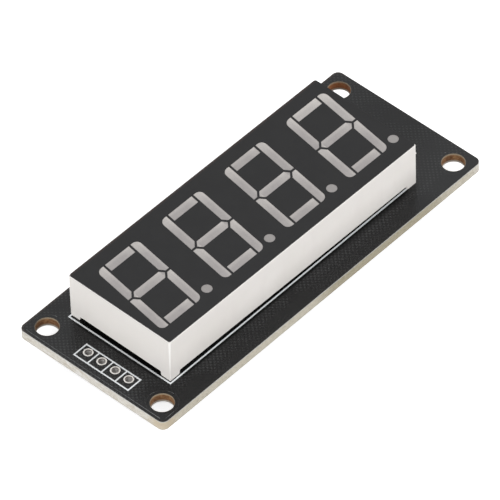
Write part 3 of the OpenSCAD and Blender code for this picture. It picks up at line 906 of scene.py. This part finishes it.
TRACK_W = 0.35
TRACK_HEIGHT = 0.022
TRACK_STUB = 0.5
TRACK_BEND = 1.2
PART_BEND = 1.5
LEADS_LOW, LEADS_HIGH = span("driver_leads")
LEAD_W = 0.42
LEAD_COUNT = 10
FIRST_LEAD = LEADS_LOW[0] + LEAD_W / 2
LEAD_PITCH = (LEADS_HIGH[0] - LEAD_W / 2 - FIRST_LEAD) / (LEAD_COUNT - 1)
LEAD_X = [FIRST_LEAD + i * LEAD_PITCH for i in range(LEAD_COUNT)]
LEAD_TIP = {-1: LEADS_LOW[1], 1: LEADS_HIGH[1]}
PINS = sorted(middle_of("display_pin_%d" % i)[:2] for i in range(1, 13))
PIN_ROWS = {side: [pin for pin in PINS if pin[1] * side > 0] for side in (-1, 1)}
HALF_PART = 0.85


def to_pin(side, pin):
    """A track from the nearest lead straight out, slanting over to the pin."""
    lead = min(LEAD_X, key=lambda x: abs(x - pin[0]))
    leave = LEAD_TIP[side] + TRACK_STUB * side
    return [
        (lead, LEAD_TIP[side]), (lead, leave),
        (pin[0], leave + abs(pin[0] - lead) * side), pin,
    ]


def past_pins(side, lead, gap, reach, part):
    """A track from a lead between two pins, along the board, to a small part's
    near end."""
    row = PIN_ROWS[side]
    middle = (row[gap][0] + row[gap + 1][0]) / 2
    leave = LEAD_TIP[side] + TRACK_STUB * side
    way = 1 if part[0] > middle else -1
    return [
        (LEAD_X[lead], LEAD_TIP[side]), (LEAD_X[lead], leave),
        (middle, leave + abs(middle - LEAD_X[lead]) * side),
        (middle, (reach - TRACK_BEND) * side), (middle + TRACK_BEND * way, reach * side),
        (part[0] - PART_BEND * way, reach * side), (part[0], (reach - PART_BEND) * side),
        (part[0], part[1] + HALF_PART * side),
    ]


resistor_1, resistor_2 = middle_of("resistor_1"), middle_of("resistor_2")
capacitor_1, capacitor_2, capacitor_3 = (
    middle_of("capacitor_%d" % i) for i in (1, 2, 3)
)
ROUTES = (
    # side, lead, gap between the pins, how far out, and the part it ends at
    (1, 3, 1, 10.6, resistor_2),
    (1, 5, 2, 11.4, resistor_1),
    (1, 7, 3, 10.6, capacitor_3),
    (-1, 8, 4, 9.8, capacitor_2),
    (-1, 6, 3, 10.6, capacitor_3),
)
tracks = [to_pin(side, pin) for side in (-1, 1) for pin in PIN_ROWS[side]]
tracks += [past_pins(*route) for route in ROUTES]

# From the header's holes to the resistors and the first capacitor. A slant is
# how far before its part a track leaves the straight.
SLANT_1, SLANT_2, SLANT_4 = 2.0, 1.4, 1.4
DROP_4 = 1.0
one, two, three, four = HEADER
fall = three[1] - capacitor_1[1]
rise = (resistor_1[1] - HALF_PART) - one[1]
tracks += [
    [
        one, (resistor_1[0] - SLANT_1, one[1]),
        (resistor_1[0] - SLANT_1 + rise, one[1] + rise),
        (resistor_1[0], one[1] + rise),
    ],
    [
        two, (resistor_2[0] - SLANT_2, two[1]),
        (resistor_2[0], two[1] + SLANT_2),
        (resistor_2[0], resistor_2[1] - HALF_PART),
    ],
    [
        three, (capacitor_1[0] - HALF_PART - fall, three[1]),
        (capacitor_1[0] - HALF_PART, capacitor_1[1]),
    ],
    [
        four, (capacitor_1[0] - SLANT_4 - DROP_4, four[1]),
        (capacitor_1[0] - SLANT_4, four[1] - DROP_4),
        (capacitor_1[0], four[1] - DROP_4),
        (capacitor_1[0] + HALF_PART, four[1] - DROP_4 + HALF_PART),
        (capacitor_1[0] + HALF_PART, capacitor_1[1]),
    ],
]
back_copper = [ridge(track, TRACK_W, TRACK_HEIGHT, 0.0) for track in tracks]
back_copper += hole_rings(0.0)
border = half_border() + [(-x, -y) for x, y in half_border()]
back_copper.append(ridge(border, LINE_W, PLAIN_HEIGHT, 0.0, True))
settle(join(back_copper), "copper_relief_back", MASK)

# ---------------------------------------------------------------- studio

FLOOR_SIZE = 6
FLOOR_GLOW = 0.72
WORLD_LEVEL = 0.336
WHITE = (1, 1, 1, 1)

start_piece()
bpy.ops.mesh.primitive_plane_add(size=FLOOR_SIZE, location=(0, 0, cad_low.z))
floor = bpy.context.object
floor.name = "floor"
floor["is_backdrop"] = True

# The paper glows for the camera and in reflections only, and keeps its shadow.
paper = Finish("paper")
rays = paper.node("LightPath")
direct = rays.math("MAXIMUM", rays.out("Is Camera Ray"), rays.out("Is Glossy Ray"))
direct = direct.math("MAXIMUM", direct, rays.out("Is Transmission Ray"))
sheet = paper.node("BsdfDiffuse", {}, {"Color": srgb(236, 236, 236)})
glow = paper.node("Emission", {}, {"Color": WHITE, "Strength": direct * FLOOR_GLOW})
both = paper.node("AddShader", {}, {0: sheet, 1: glow})
paper.node("OutputMaterial", {}, {"Surface": both})
floor.data.materials.append(paper.material)

world = bpy.data.worlds.new("studio")
bpy.context.scene.world = world
world.use_nodes = True
world.node_tree.nodes.clear()
backdrop = world.node_tree.nodes.new("ShaderNodeBackground")
backdrop.inputs["Color"].default_value = WHITE
backdrop.inputs["Strength"].default_value = WORLD_LEVEL
sky = world.node_tree.nodes.new("ShaderNodeOutputWorld")
world.node_tree.links.new(backdrop.outputs[0], sky.inputs["Surface"])


def softbox(name, towards, distance, width, power):
    """A square lamp that looks at the middle of the module."""
    lamp = bpy.data.lights.new(name, "AREA")
    lamp.shape = "SQUARE"
    lamp.size = width
    lamp.energy = power
    holder = bpy.data.objects.new(name, lamp)
    bpy.context.scene.collection.objects.link(holder)
    direction = Vector(towards).normalized()
    holder.location = direction * distance
    holder.rotation_mode = "QUATERNION"
    holder.rotation_quaternion = direction.to_track_quat("Z", "Y")


softbox("key_softbox", (0.495, -0.73, 0.46), distance=0.7, width=0.42, power=2.5)
softbox("left_softbox", (-0.9, -0.22, 0.24), distance=0.8, width=0.6, power=4.9)
softbox("back_softbox", (0.495, 0.473, 0.73), distance=0.9, width=0.9, power=2.1)

# ---------------------------------------------------------------- camera

AZIMUTH, ELEVATION, ROLL = map(math.radians, (-46.295, 46.761, -1.9792))
TARGET = Vector((-1.04, -0.5731, 1.6)) * MM
DISTANCE = 1225.83 * MM
SENSOR = 36.0
FOCAL_RATIO = 17.62804
CLIP_NEAR, CLIP_FAR = 0.05, 20

away = Vector((
    math.sin(AZIMUTH) * math.cos(ELEVATION),
    -math.cos(AZIMUTH) * math.cos(ELEVATION),
    math.sin(ELEVATION),
))
level_right = Vector((math.cos(AZIMUTH), math.sin(AZIMUTH), 0))
level_up = away.cross(level_right)
right = level_right * math.cos(ROLL) + level_up * math.sin(ROLL)
upward = level_up * math.cos(ROLL) - level_right * math.sin(ROLL)
lens = bpy.data.cameras.new("camera")
lens.lens = FOCAL_RATIO * SENSOR
lens.sensor_width = SENSOR
lens.clip_start, lens.clip_end = CLIP_NEAR, CLIP_FAR
camera = bpy.data.objects.new("camera", lens)
bpy.context.scene.collection.objects.link(camera)
turned = Matrix((right, upward, away)).transposed().to_4x4()
camera.matrix_world = Matrix.Translation(TARGET + away * DISTANCE) @ turned
bpy.context.scene.camera = camera
bpy.context.scene.view_settings.view_transform = "Standard"

bpy.context.view_layer.update()
low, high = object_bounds()
